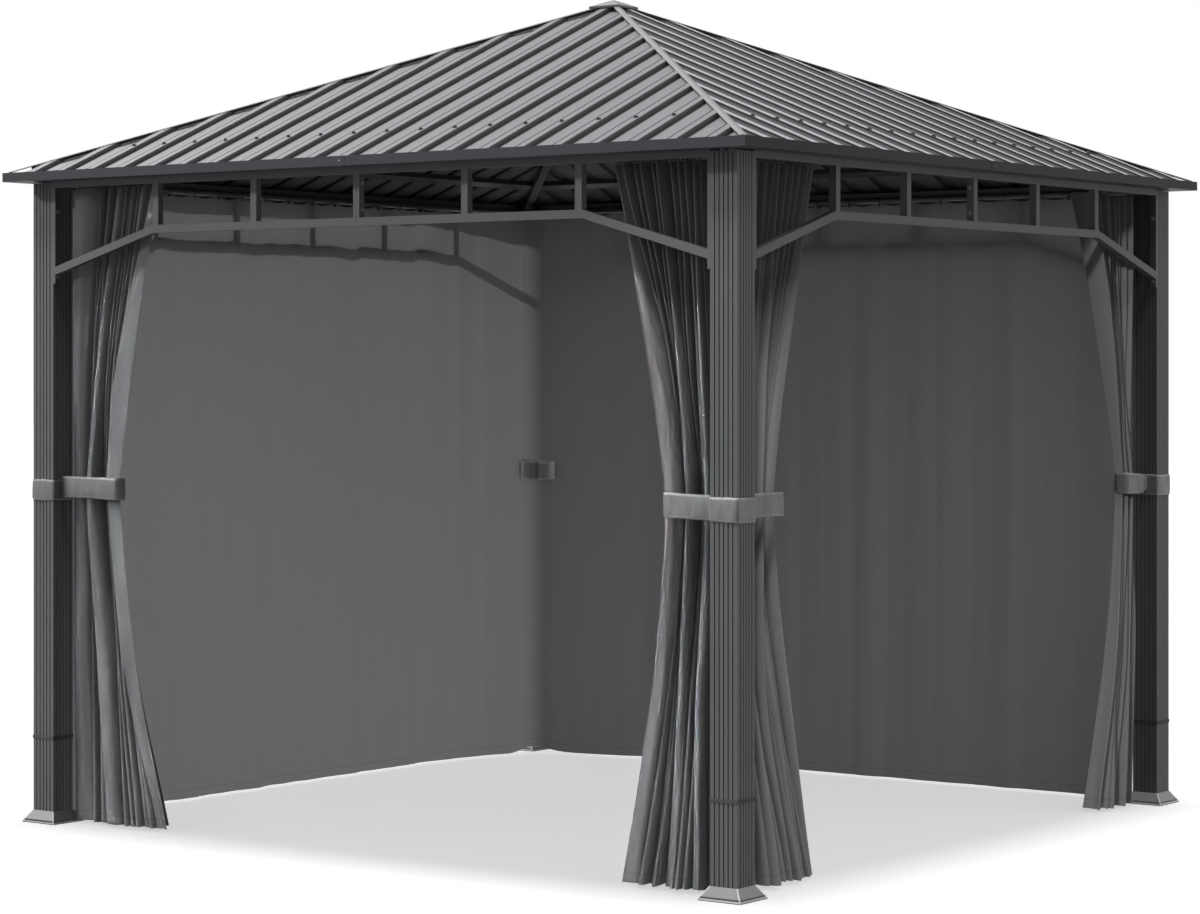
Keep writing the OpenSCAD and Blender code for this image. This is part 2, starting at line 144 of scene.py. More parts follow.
def gridFaces(rows, cols, closed=False):
    # quads between neighbouring rows and columns; closed joins the last column to the first
    r, c = np.meshgrid(np.arange(rows - 1), np.arange(cols if closed else cols - 1), indexing="ij")
    d = (c + 1) % cols
    quads = [r * cols + c, r * cols + d, (r + 1) * cols + d, (r + 1) * cols + c]
    return np.stack(quads, -1).reshape(-1, 4)


def outwards(points, faces):
    # the signed volume, a sum of tetrahedra from the origin, is positive when faces point outwards
    a, b, c, d = (points[faces[:, i]] for i in range(4))
    volume = (a * np.cross(b, c)).sum() + (a * np.cross(c, d)).sum()
    return faces if volume > 0 else faces[:, ::-1]


def joined(parts):
    # several point and face arrays as one
    starts = np.cumsum([0] + [len(p) for p, f in parts[:-1]])
    points = np.concatenate([p for p, f in parts])
    return points, np.concatenate([f + s for (p, f), s in zip(parts, starts)])


def copies(shape, places, axes):
    # one copy for each place; the rows of axes are where the shape's x, y and z point
    points, faces = shape
    moved = np.einsum("na,kab->knb", points, axes) + places[:, None, :]
    shift = np.arange(len(places))[:, None, None] * len(points)
    return moved.reshape(-1, 3), (faces[None] + shift).reshape(-1, 4)


def turned(points, side):
    # a quarter turn about Z for each side
    a = side * tau / 4
    spin = np.array([[math.cos(a), math.sin(a), 0], [-math.sin(a), math.cos(a), 0], [0, 0, 1]])
    return points @ spin


def capped(points, faces, rows, cols):
    # closes both ends of a tube of closed rows with a middle point each
    ends = np.stack([points[:cols].mean(0), points[-cols:].mean(0)])
    i = np.arange(cols)
    j = (i + 1) % cols
    first, last = np.full(cols, rows * cols), np.full(cols, rows * cols + 1)
    base = (rows - 1) * cols
    firstFan = np.stack([j, i, first, first], -1)
    lastFan = np.stack([base + i, base + j, last, last], -1)
    return np.concatenate([points, ends]), np.concatenate([faces, firstFan, lastFan])


def revolved(profile, segments, sixSided=None):
    # radius and height pairs turned about Z; rows in sixSided follow a hexagon instead of a circle
    angle = np.arange(segments) * tau / segments
    r, h = np.array(profile).T
    hexagon = math.cos(tau / 12) / np.cos((angle % (tau / 6)) - tau / 12)
    flats = np.isin(np.arange(len(r)), sixSided or [])
    reach = r[:, None] * np.where(flats[:, None], hexagon, 1)
    points = np.stack([reach * np.cos(angle), reach * np.sin(angle), h[:, None] + 0 * reach], -1)
    points, faces = capped(points.reshape(-1, 3), gridFaces(len(r), segments, True), len(r), segments)
    return points, outwards(points, faces)


def swept(profile, path, up):
    # a closed profile, as side and up pairs, carried along an open path with straight ends
    along = np.gradient(path, axis=0)
    along /= np.linalg.norm(along, axis=1, keepdims=True)
    side = np.cross(along, up)
    side /= np.linalg.norm(side, axis=1, keepdims=True)
    over = np.cross(side, along)
    p = np.array(profile)
    points = path[:, None] + p[None, :, :1] * side[:, None] + p[None, :, 1:] * over[:, None]
    rows, cols = points.shape[:2]
    points, faces = capped(points.reshape(-1, 3), gridFaces(rows, cols, True), rows, cols)
    return points, outwards(points, faces)


def roundedLoop(corners, radius, count):
    # a closed outline whose corners are cut back by radius, or by less than half of a short side, and bent
    # by a quadratic curve, then spaced evenly
    corners = np.array(corners, float)
    before, after = np.roll(corners, 1, 0) - corners, np.roll(corners, -1, 0) - corners
    toBefore, toAfter = (np.linalg.norm(way, axis=1, keepdims=True) for way in (before, after))
    cut = np.minimum(radius, 0.45 * np.minimum(toBefore, toAfter))
    a = corners + before / toBefore * cut
    b = corners + after / toAfter * cut
    t = np.linspace(0, 1, 9)[None, :, None]
    bent = (1 - t) ** 2 * a[:, None] + 2 * t * (1 - t) * corners[:, None] + t ** 2 * b[:, None]
    outline = bent.reshape(-1, 2)
    outline = np.concatenate([outline, outline[:1]])
    length = np.concatenate([[0], np.cumsum(np.linalg.norm(np.diff(outline, axis=0), axis=1))])
    want = np.linspace(0, length[-1], count, endpoint=False)
    return np.stack([np.interp(want, length, outline[:, i]) for i in (0, 1)], -1), length[-1]


def makePiece(name, shape, material, replaced=(), uv=None, sharp=None):
    points, faces = shape
    mesh = bpy.data.meshes.new(name)
    lists = [f[:3] if f[2] == f[3] else f for f in faces.tolist()]
    mesh.from_pydata(points.tolist(), [], lists)
    mesh.shade_smooth()
    if sharp:
        mesh.set_sharp_from_angle(angle=math.radians(sharp))
    if uv is not None:
        corner = np.zeros(len(mesh.loops), np.int32)
        mesh.loops.foreach_get("vertex_index", corner)
        layer = mesh.uv_layers.new(name="cut")
        layer.data.foreach_set("uv", uv[corner].astype(np.float32).ravel())
    mesh.materials.append(material)
    made = bpy.data.objects.new(name, mesh)
    scene.collection.objects.link(made)
    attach(made, "root")
    if replaced:
        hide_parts(*replaced)
    return made


# Materials. Sizes are in metres; fleck and gloss are the swings of tone and roughness to either side.

coat = {"cloud": 0.4, "fleck": 0.08, "gloss": 0.07, "bump": (0.12, 0.0006)}
cover = {
    "mitreHalf": 0.003,   # painted highlight this far to either side of a mitre
    "lip": (0.0044, 0.0018),  # height of the lip's painted highlight and half its width
    "step": (0.0092, 0.003),  # of the step's painted shade, likewise
    "ground": 0.0024,     # painted contact shadow up to this height
    "shadeLeaves": 0.3,    # share of the paint's tone under the painted shade
    "highlightFullAt": 0.5,        # grit from which the painted highlight is full
}
satin = {
    "streak": (0.035, 0.11),  # size of the streaks along and across the strap
    "shows": (0.3, 0.7),  # stretch of the noise between dull and bright, a painted sheen in the tone
    "edgeHighlightBand": (0.009, 0.005),  # the painted edge highlight begins and is full this far from the edge
    "gloss": 0.1,
    "sheen": (0.25, 0.4),
    "bump": (0.2, 0.0008),
}
ribs = {
    "pitch": 0.1375,
    "lapAt": 0.0152,      # from the rib's middle to the lap
    "lapHalf": 0.0078,    # half the width of the lap's groove
    "lapLeaves": 0.06,    # share of the paint's tone in the groove, darkened as painted shade
    "footAt": 0.0425,     # from the lap to the foot of the rib's far side
    "footHalf": 0.0105,   # painted shade of the rib lies this far to either side of it
    # share of the paint's tone under the painted shade at the rib's foot
    "shadeLeaves": 0.4,
    "cloud": 0.5,
    "grit": 0.008,
    "fleck": 0.05,
    "gloss": 0.06,
    "shine": 0.08,
    "bump": (0.1, 0.0006),
}
weaving = {
    "slub": (0.02, 0.9),  # size of the slubs across and down the cloth
    "slubMix": (0.6, 0.2),  # their share of the tone, and where it begins
    "cloud": 0.3,
    "hem": 0.03,          # height of the hem's stitching
    "stitch": (0.001, 0.003),  # dark up to the first distance, gone at the second
    "stitchLeaves": 0.72,
    "fleck": 0.05,
    "gloss": 0.08,
    "sheenRoughness": 0.4,
    "shine": 0.15,
    "bump": (0.25, 0.0008),
}


def powderCoat(name, light, dark, roughness, gritSize, lustre, shine=0.5):
    # polyester powder baked on metal: faintly grainy, a little cloudy. Zinc, rubber and nylon use it too.
    made, tree = newMaterial(name)
    place = addNode(tree, "TexCoord").outputs["Object"]
    grit = noise(tree, place, gritSize)
    tone = blended(tree, noise(tree, place, coat["cloud"], 3), linear(dark), linear(light))
    paint = addNode(tree, "BsdfPrincipled", {
        "Metallic": lustre,
        "Specular IOR Level": shine,
        "Base Color": shaded(tree, tone, swung(tree, grit, 1, coat["fleck"])),
        "Roughness": swung(tree, grit, roughness, coat["gloss"]),
        "Normal": bumped(tree, grit, *coat["bump"]),
    })
    return surfaced(made, paint)


def pressedCover(name, light, dark, highlightColour, roughness, gritSize):
    # sheet steel pressed and painted satin: painted highlights along the mitres and the lip of the foot,
    # and painted shade in the step and at the ground. On a mitre the two distances from the post's middle
    # are equal.
    made, tree = newMaterial(name)
    place = addNode(tree, "TexCoord").outputs["Object"]
    grit = noise(tree, place, gritSize)
    x, y, level = addNode(tree, "SeparateXYZ", {0: place}).outputs
    away = [apart(tree, maths(tree, "ABSOLUTE", along), postOff) for along in (x, y)]
    # painted highlight along the mitres and the lip, broken up by the grit
    mitre = maths(tree, "COMPARE", *away, cover["mitreHalf"])
    paintedHighlight = maths(tree, "MAXIMUM", mitre, maths(tree, "COMPARE", level, *cover["lip"]))
    highlightShare = ranged(tree, maths(tree, "MULTIPLY", paintedHighlight, grit), 0, 1, 0, cover["highlightFullAt"])
    # painted shade in the step and a painted contact shadow at the ground
    step = maths(tree, "COMPARE", level, *cover["step"])
    paintedShade = maths(tree, "MAXIMUM", step, maths(tree, "LESS_THAN", level, cover["ground"]))
    tone = blended(tree, grit, linear(dark), linear(light))
    paint = shaded(tree, tone, ranged(tree, paintedShade, 1, cover["shadeLeaves"]))
    coating = addNode(tree, "BsdfPrincipled", {
        "Roughness": roughness,
        "Base Color": blended(tree, highlightShare, paint, linear(highlightColour)),
        "Normal": bumped(tree, grit, *coat["bump"]),
    })
    return surfaced(made, coating)


def threadWave(tree, along, threadSize):
    # one crest for each thread
    return maths(tree, "SINE", maths(tree, "MULTIPLY", along, tau / threadSize))


def stretchedNoise(tree, place, sizes, detail):
    scaled = addNode(tree, "Mapping", {"Scale": (1 / sizes[0], 1 / sizes[1], 1), 0: place})
    return noise(tree, scaled.outputs[0], 1, detail)


def satinStrap(name, light, dark, edgeHighlightColour, threadSize, roughness):
    # satin-woven polyester band: streaks of gloss and of painted sheen across it, a painted highlight along
    # both edges
    made, tree = newMaterial(name)
    cut = addNode(tree, "UVMap", {"uv_map": "cut"}).outputs[0]
    axes = addNode(tree, "SeparateXYZ", {0: cut})
    streak = stretchedNoise(tree, cut, satin["streak"], 2)
    # the streaks' tone between dull and bright is painted sheen; their gloss is set by the roughness below
    tone = blended(tree, ranged(tree, streak, 0, 1, *satin["shows"]), linear(dark), linear(light))
    fromMiddle = apart(tree, axes.outputs[1], strapMiddle)
    half = strapHigh.z / 2 - strapLow.z / 2
    begins, full = (half - far for far in satin["edgeHighlightBand"])
    weight, softness = satin["sheen"]
    band = addNode(tree, "BsdfPrincipled", {
        "Sheen Weight": weight,
        "Sheen Roughness": softness,
        # a paler band along both edges: painted highlight
        "Base Color": blended(tree, ranged(tree, fromMiddle, 0, 1, begins, full), tone, linear(edgeHighlightColour)),
        "Roughness": swung(tree, streak, roughness, -satin["gloss"]),
        "Normal": bumped(tree, threadWave(tree, axes.outputs[0], threadSize), *satin["bump"]),
    })
    return surfaced(made, band)


def ribbedSheet(name, light, dark, roughness, across, sign):
    # coil-coated steel, matt: a folded lap shows as a fine groove along one edge of each rib, bumped in and
    # darkened by painted shade; painted shade of the rib lies along the foot of its other side
    made, tree = newMaterial(name)
    place = addNode(tree, "TexCoord").outputs["Object"]
    cloud = noise(tree, place, ribs["cloud"], 3)
    grit = noise(tree, place, ribs["grit"])
    # place across one rib: the remainder after whole rib pitches, zero at the lap
    along = addNode(tree, "SeparateXYZ", {0: place}).outputs[across]
    shifted = maths(tree, "MULTIPLY_ADD", along, sign, ribs["lapAt"])
    wrapped = maths(tree, "WRAP", shifted, ribs["pitch"] / 2, -ribs["pitch"] / 2)
    nearLap = maths(tree, "ABSOLUTE", wrapped)
    nearFoot = apart(tree, wrapped, ribs["footAt"])
    lapHalf, footHalf = ribs["lapHalf"], ribs["footHalf"]
    # painted shade: in the groove at the lap, and along the foot of the rib's far side
    groove = ranged(tree, nearLap, 0, 1, lapHalf, lapHalf * 0.4, "SMOOTHSTEP")
    footShade = ranged(tree, nearFoot, ribs["shadeLeaves"], 1, footHalf * 0.3, footHalf, "SMOOTHSTEP")
    tone = blended(tree, cloud, linear(dark), linear(light))
    spots = maths(tree, "MULTIPLY", swung(tree, grit, 1, ribs["fleck"]), footShade)
    shade = maths(tree, "MULTIPLY", spots, ranged(tree, groove, 1, ribs["lapLeaves"]))
    relief = maths(tree, "MULTIPLY_ADD", groove, -1.0, grit)
    paint = addNode(tree, "BsdfPrincipled", {
        "Specular IOR Level": ribs["shine"],
        "Base Color": shaded(tree, tone, shade),
        "Roughness": swung(tree, cloud, roughness, ribs["gloss"]),
        "Normal": bumped(tree, relief, *ribs["bump"]),
    })
    return surfaced(made, paint)


def wovenCloth(name, light, dark, through, throughShare, threadSize, roughness, sheen):
    # plain-woven polyester: soft sheen, faint slubs down the cloth, a stitched hem, a little light comes
    # through. Threads of half a millimetre are drawn at threadSize so that they show.
    made, tree = newMaterial(name)
    cut = addNode(tree, "UVMap", {"uv_map": "cut"}).outputs[0]
    axes = addNode(tree, "SeparateXYZ", {0: cut})
    slub = stretchedNoise(tree, cut, weaving["slub"], 4)
    cloud = noise(tree, cut, weaving["cloud"])
    weave = maths(tree, "MULTIPLY", *(threadWave(tree, axes.outputs[i], threadSize) for i in (0, 1)))
    fromHem = apart(tree, axes.outputs[1], weaving["hem"])
    seam = ranged(tree, fromHem, weaving["stitchLeaves"], 1, *weaving["stitch"])
    slubShare = maths(tree, "MULTIPLY_ADD", slub, *weaving["slubMix"])
    tone = blended(tree, slubShare, linear(dark), linear(light))
    thread = ranged(tree, weave, 1 - weaving["fleck"], 1 + weaving["fleck"], -1)
    front = addNode(tree, "BsdfPrincipled", {
        "Sheen Weight": sheen,
        "Sheen Roughness": weaving["sheenRoughness"],
        "Specular IOR Level": weaving["shine"],
        "Base Color": shaded(tree, tone, maths(tree, "MULTIPLY", seam, thread)),
        "Roughness": swung(tree, cloud, roughness, weaving["gloss"]),
        "Normal": bumped(tree, maths(tree, "MULTIPLY_ADD", weave, 0.5, slub), *weaving["bump"]),
    })
    behind = addNode(tree, "BsdfTranslucent", {"Color": linear(through)})
    both = addNode(tree, "MixShader", {0: throughShare, 1: front.outputs[0], 2: behind.outputs[0]})
    return surfaced(made, both)


framePaint = powderCoat("anthracite_powder_coat", "#47494b", "#3e4042", 0.52, 0.006, 0.1, 0.42)
# the frame's anthracite powder coat again, made darker as painted shade on the eaves
fasciaShadedPaint = powderCoat("anthracite_powder_coat_painted_shade", "#3a3c3f", "#323437", 0.5, 0.006, 0.1, 0.1)
roofPaints = {}
for side, (across, sign) in {"front": (0, 1), "right": (1, 1), "back": (0, -1), "left": (1, -1)}.items():
    roofPaints[side] = ribbedSheet("coil_coated_steel_" + side, "#929195", "#88878b", 0.5, across, sign)
capPaint = powderCoat("coil_coated_steel_caps", "#a2a2a5", "#98989b", 0.55, 0.008, 0.0, 0.15)
# the third colour is the painted highlight on the mitres and the lip
coverPaint = pressedCover("satin_painted_pressing", "#87888a", "#7e7f81", "#dcdddf", 0.45, 0.006)
footSteel = powderCoat("zinc_plated_steel", "#9b9da0", "#86888c", 0.35, 0.01, 0.9)
screwSteel = powderCoat("zinc_plated_screws", "#6f7074", "#606165", 0.45, 0.004, 0.3)
washerRubber = powderCoat("moulded_rubber", "#2b2b2c", "#222223", 0.75, 0.004, 0.0)
ringPlastic = powderCoat("moulded_nylon", "#2a2b2d", "#202123", 0.45, 0.005, 0.0)
curtainCloth = wovenCloth("woven_polyester_curtain", "#868688", "#7a7a7c", "#6a6a6c", 0.32, 0.005,
                          0.72, 0.15)
# the third colour is the painted highlight along the edges
strapCloth = satinStrap("satin_polyester_strap", "#626264", "#4a4a4c", "#7c7c7e", 0.005, 0.42)

slotMaterial = {
    "frame_paint": framePaint,
    "fascia_paint": fasciaShadedPaint,
    "cap_paint": capPaint,
    "base_cover_paint": coverPaint,
    "foot_steel": footSteel,
    "curtain_cloth": curtainCloth,
    "strap_webbing": strapCloth,
}
for row in frame["record"]["subparts"]:
    mesh = nodes[row["node"]].data
    mesh.materials.clear()
    mesh.materials.append(slotMaterial.get(row["material_slot"]) or roofPaints[row["node"].split("_")[0]])
nodes["post_bands"].data.materials[0] = washerRubber
print("materials made,", len(bpy.data.materials))

# Curtains tied to the posts of the open sides

tied = {
    "topZ": 2.166,        # cloth at a ring
    "sag": 0.006,         # dip of the top edge between rings
    "hemZ": 0.012,
    "hemLift": 0.012,     # the hem's hollows hang up to this much higher
    "outerY": -1.398,     # outer face of the folds in the frame of their side
    "inset": 0.006,       # the ridges stand this far inside it
    "columns": 30,        # points across one fold
    "rows": 150,
    "cutFirst": 0.2,      # share cut off the first fold
    "cutLast": 0.4,       # and off the last one
    "cut": 1.39,          # width of the cloth before it is gathered
    "edgeBend": (1.15, 1.35),  # powers above and below the strap for the bundle's edges
    "depthBend": (1.1, 1.3),  # for its depth
    "sharpBend": (2.6, 1),  # and for the folds' sharpness
    "curl": (0.1, 0.2, 0.24),  # folds bulge past their roots, at pole, strap and hem
    "leaning": (0.3, 0.8, 1.0),  # share of a curtain's lean, likewise
    "hemEven": 0.4,       # how far the folds even out at the hem
    "narrow": 0.75,       # folds under this share of the mean width are narrow
    "setBack": 0.5,       # and stand back by this share at the strap
    "still": 0.06,        # share of the width beside an edge that stays in place
    "thinFrom": 0.4,      # share of the width from which the bundle thins
    "crease": 0.0006,     # height of the fine creases
    "swell": 0.003,       # and of the broad ones
    "calm": (0.5, 0.3),   # they grow over these heights from strap and rings
}
# Each curtain: its side and end of it, and its reach from the post outwards at pole, strap and hem.
# folds are the shares of the cloth in each fold, counted from the post. depth and sharp hold at pole, strap
# and hem. wander makes the folds uneven, even evens them at the pole, back is the least that a ridge comes
# forward, thin is how much the free edge thins, and full is the share of that at the pole.
tiedCurtains = {
    "front_left_curtain": {
        "side": 0, "hand": -1, "pole": (1.272, 0.872), "strap": (1.292, 1.062), "hem": (1.278, 0.866),
        "folds": (3.4, .45, .45, .45, 2.0, .45, .45, .45, .45, .45, 3.4), "seed": 3,
        "depth": (0.062, 0.096, 0.095), "sharp": (0.6, 0.28, 0.26), "lean": -0.3, "wander": 0.3,
        "back": 0.6, "even": 0.3, "thin": 0.6, "full": 1.0,
    },
    "front_right_curtain": {
        "side": 0, "hand": 1, "pole": (1.275, 0.955), "strap": (1.292, 1.150), "hem": (1.275, 0.975),
        "folds": (.6, 2.3, .45, .45, .45, 1.3, .45, .45, .45, .45, 2.4), "seed": 5,
        "depth": (0.062, 0.096, 0.095), "sharp": (4.0, 0.3, 0.26), "lean": 0.3, "wander": 0.5,
        "back": 0.5, "even": 0.9, "thin": 0.2, "full": 1.0,
    },
    "right_front_curtain": {
        "side": 1, "hand": -1, "pole": (1.275, 0.910), "strap": (1.292, 1.130), "hem": (1.275, 0.898),
        "folds": (2.6, .5, .5, .5, .5, 1.3, .5, .5, .5, .5, 2.0), "seed": 8,
        "depth": (0.062, 0.096, 0.095), "sharp": (3.4, 0.3, 0.26), "lean": -0.25, "wander": 0.45,
        "back": 0.5, "even": 0.8, "thin": 0.2, "full": 1.0,
    },
    "right_back_curtain": {
        "side": 1, "hand": 1, "pole": (1.290, 0.930), "strap": (1.240, 1.150), "hem": (1.228, 0.985),
        "folds": (1.2, .8, 1.0, .7, 1.2, .7, .9, .7, 1.1, .8, .9, .7, 1.6), "seed": 11,
        "depth": (0.112, 0.070, 0.095), "sharp": (2.4, 1.1, 0.8), "lean": 0.25, "wander": 0.4,
        "back": 0.6, "even": 0.8, "thin": 0.4, "full": 0.0,
    },
}


def levels(z, pole, tie, hem, bend):
    # a size at the pole, at the strap and at the hem, joined by powers of the distance from the strap
    up = np.clip((z - strapHigh.z) / (tied["topZ"] - strapHigh.z), 0, 1) ** bend[0]
    down = np.clip((strapLow.z - z) / (strapLow.z - tied["hemZ"]), 0, 1) ** bend[1]
    return tie + (pole - tie) * up + (hem - tie) * down


def eased(values, t):
    # rows of values at even heights, joined smoothly
    u = t[:, 0] * (len(values) - 1)
    k = np.clip(u.astype(int), 0, len(values) - 2)
    u = smooth(u - k)[:, None]
    return values[k] * (1 - u) + values[k + 1] * u


def placedSheet(points, uv, spec):
    # faces look outwards on either hand, and the sheet is turned to its side
    faces = gridFaces(*points.shape[:2])
    if spec["hand"] < 0:
        faces = faces[:, ::-1]
    return turned(points.reshape(-1, 3), spec["side"]), faces, uv.reshape(-1, 2)


def tiedSheet(spec):
    rng = np.random.default_rng(spec["seed"])
    share = np.array(spec["folds"]) / sum(spec["folds"])
    edge = np.concatenate([[0], np.cumsum(share)])
    count = len(share)
    # the first and last folds are cut short, so that the cloth's edges hang to the front
    first, last = tied["cutFirst"], count - tied["cutLast"]
    phase = np.linspace(first, last, round((last - first) * tied["columns"]) + 1)[None, :]
    index = np.clip(phase.astype(int), 0, count - 1)
    inFold = phase - index
    s = np.interp(phase, np.arange(count + 1), edge)
    t = np.linspace(0, 1, tied["rows"])[:, None]
    z = tied["topZ"] + (tied["hemZ"] - tied["topZ"]) * t

    # each fold widens and narrows, comes forward and falls back, between a few heights
    spread = share * np.exp(spec["wander"] * rng.normal(0, 1, (4, count)))
    spread[0] += spec["even"] * (1 / count - spread[0])
    spread[-1] += tied["hemEven"] * (1 / count - spread[-1])
    spread = eased(spread, t)
    spread /= spread.sum(1, keepdims=True)
    row = np.arange(len(t))[:, None]
    pitch = spread[row, index]
    reach = (np.cumsum(spread, 1) - spread)[row, index] + pitch * inFold
    across = (reach - reach[:, :1]) / (reach[:, -1:] - reach[:, :1])
    held = eased(rng.uniform(spec["back"], 1.0, (5, count)), t)[row, index]
    # narrow folds stand back behind the broad ones, except at the pole and the hem
    narrow = (share < tied["narrow"] / count)[index]
    held = held * (1 - narrow * levels(z, 0, tied["setBack"], 0, (1, 2)))
    # a fold is a raised cosine to a power: under 1 gives broad ridges, over 1 narrow ones
    power = levels(z, *spec["sharp"], tied["sharpBend"])
    ridge = np.clip(0.5 - 0.5 * np.cos(tau * inFold), 0, 1) ** power

    # sideways: folds curl and lean, but the sheet's two edges stay in place
    waves = rng.uniform(0, tau, 3)
    curl = levels(z, *tied["curl"], (1, 0.8))
    lean = spec["lean"] * spec["hand"] * levels(z, *tied["leaning"], (1, 1))
    lateral = -pitch * (curl * np.sin(tau * inFold) + lean * ridge)
    lateral = lateral * np.clip(across / tied["still"], 0, 1) * np.clip((1 - across) / tied["still"], 0, 1)
    reaches = zip(spec["pole"], spec["strap"], spec["hem"])
    near, far = (levels(z, *reach, tied["edgeBend"]) for reach in reaches)
    along = near + (far - near) * (across + lateral)

    # in depth: ridges and hollows, thinner towards the free edge, creased away from the strap and the rings
    thin = spec["thin"] * levels(z, spec["full"], 1.0, 0.2, (1, 1.6))
    thin = thin * smooth((across - tied["thinFrom"]) / (1 - tied["thinFrom"]))
    depth = levels(z, *spec["depth"], tied["depthBend"]) * (1 - thin)
    fromStrap, fromRings = np.abs(z - strapZ) / tied["calm"][0], (tied["topZ"] - z) / tied["calm"][1]
    free = np.clip(fromStrap, 0, 1) * np.clip(fromRings, 0, 1)
    crease = sum(np.sin(tau * ((9 + 5 * k) * s + (1.1 - 0.7 * k) * t) + waves[k]) for k in range(3))
    swell = np.sin(tau * (2.6 * s + 0.9 * t) + waves[0]) + np.sin(tau * (1.4 * s - 1.6 * t) + waves[1])
    y = tied["outerY"] + tied["inset"] + depth * (1 - ridge * held)
    y = y + (tied["crease"] * crease + tied["swell"] * swell) * free

    # the dip fades over the top eighth, and the lift grows over the lowest fifth
    dip = tied["sag"] * (0.5 + 0.5 * np.cos(2 * tau * inFold)) * np.clip(1 - t * 8, 0, 1)
    lift = tied["hemLift"] * rng.uniform(0, 1, count)[index] * np.clip((t - 0.8) * 5, 0, 1) * (1 - ridge)
    points = np.stack([spec["hand"] * along, y, z - dip + lift + 0 * s], -1)
    width = (s - s[0, 0]) / (s[0, -1] - s[0, 0]) * tied["cut"]
    return placedSheet(points, np.stack([width + 0 * z, z - tied["hemZ"] + 0 * s], -1), spec)


ringPlaces = []     # side, place along the pole
for name, spec in tiedCurtains.items():
    points, faces, uv = tiedSheet(spec)
    sheet = makePiece(name.replace("_curtain", "_tied_curtain"), (points, faces), curtainCloth,
                      (name,), uv)
    reach = np.linspace(spec["pole"][0], spec["pole"][1], 2 * len(spec["folds"]) + 1)[1:-1]
    ringPlaces += [(spec["side"], spec["hand"] * a) for a in reach]

# Curtains drawn along the closed sides

drawn = {
    "topZ": 2.1735,
    "sag": 0.009,
    "hemZ": 0.009,
    "cornerLift": (0.018, 0.15),  # the hem rests on the back left base cover: height, reach along it
    "coverBack": 0.0135,  # it is highest this far before the plane of the cloth beside it
    "ringPitch": 0.131,
    "ringStart": 0.004,
    "cornerR": 0.06,      # the back curtain turns the corner to meet the left one
    "innerOff": 1.288,    # plane of the cloth where it passes inside the back left post
    "wrap": 0.5,          # length over which it gets there
    "meeting": 0.0005,    # the back curtain's turned end lies this far inside that plane
    "columns": 230,
    "rows": 90,
    "folds": ((0.33, 0.0066), (0.187, 0.0048), (0.118, 0.0024), (0.071, 0.0008)),  # wavelength and height
    "calm": 0.08,         # flat over this length where it meets its neighbour
    "cornerCalm": 0.1,    # and over this one before the corner
    "endPull": 0.0225,    # a free end is drawn out by this share to reach its post
    "knee": (0.86, 0.22),  # not below this share of the drop, and fully from so much higher up
    "fullness": 1.07,     # cut width for each metre along the pole
}
drawnCurtains = {
    "back_right_curtain": {"side": 2, "hand": -1, "end": 1.300, "wraps": False, "seed": 21},
    "back_left_curtain": {"side": 2, "hand": 1, "end": 1.3245, "wraps": True, "seed": 22},
    "left_back_curtain": {"side": 3, "hand": -1, "end": 1.2265, "wraps": True, "seed": 23},
    "left_front_curtain": {"side": 3, "hand": 1, "end": 1.300, "wraps": False, "seed": 24},
}


def drawnSheet(spec):
    rng = np.random.default_rng(spec["seed"])
    a = np.linspace(0, spec["end"], drawn["columns"])[None, :]
    t = np.linspace(0, 1, drawn["rows"])[:, None]
    off, lift = postOff + 0 * a, 0 * a
    pull = np.clip((drawn["knee"][0] - t) / drawn["knee"][1], 0, 1)
    calm = np.clip(a / drawn["calm"], 0, 1)
    rise, reach = drawn["cornerLift"]
    if spec["wraps"]:       # the path keeps to the pole, then eases inside the post
        inside = smooth((a - drawn["innerOff"] + drawn["cornerR"]) / drawn["wrap"] + 1)
        off = postOff - (postOff - drawn["innerOff"]) * inside
        calm = calm * np.clip((drawn["innerOff"] - drawn["cornerR"] - a) / drawn["cornerCalm"], 0, 1)
        lift = smooth(1 - np.abs(a - drawn["innerOff"] + drawn["coverBack"]) / reach)
        pull = 0 * t
    wave = 0 * a * t
    for length, height in drawn["folds"]:
        p, q, r = rng.uniform(0, tau, 3)
        bend = 0.5 * np.sin(1.7 * a / length + q)       # folds are never quite even
        swell = 0.75 + 0.25 * np.sin(tau * (0.6 * t + 0.4 * a) + r)
        wave = wave + height * swell * np.sin(tau * a / length + bend + p + 0.35 * np.sin(2.2 * t + q))
    # a free end reaches the post above knee height and hangs a little clear of it below
    x, y = a * (1 + drawn["endPull"] * pull), wave * calm - off
    if spec["side"] == 2 and spec["wraps"]:
        # past the bend the cloth follows a quarter circle, then the side wall
        r = drawn["cornerR"]
        bendAt = drawn["innerOff"] - drawn["meeting"] - r
        angle = np.clip((a - bendAt) / r, 0, math.pi / 2)
        past = np.clip(a - bendAt - r * math.pi / 2, 0, None)
        x = np.minimum(a, bendAt) + r * np.sin(angle) + 0 * t
        y = y + r * (1 - np.cos(angle)) + past
    between = 0.5 - 0.5 * np.cos(tau * a / drawn["ringPitch"])
    top = drawn["topZ"] - drawn["sag"] * between
    hem = drawn["hemZ"] + rise * lift
    z = top + (hem - top) * t
    points = np.stack([spec["hand"] * x, y, z], -1)
    return placedSheet(points, np.stack([drawn["fullness"] * a + 0 * t, z - hem], -1), spec)


for name, spec in drawnCurtains.items():
    points, faces, uv = drawnSheet(spec)
    sheet = makePiece(name.replace("_curtain", "_drawn_curtain"), (points, faces), curtainCloth,
                      (name,), uv)
    last = spec["end"] - (drawn["wrap"] if spec["wraps"] else 0)
    reach = np.arange(0, last, drawn["ringPitch"]) + drawn["ringStart"]
    ringPlaces += [(spec["side"], spec["hand"] * a) for a in reach]

# Rings on the poles, each with a clip that holds the top edge of the cloth

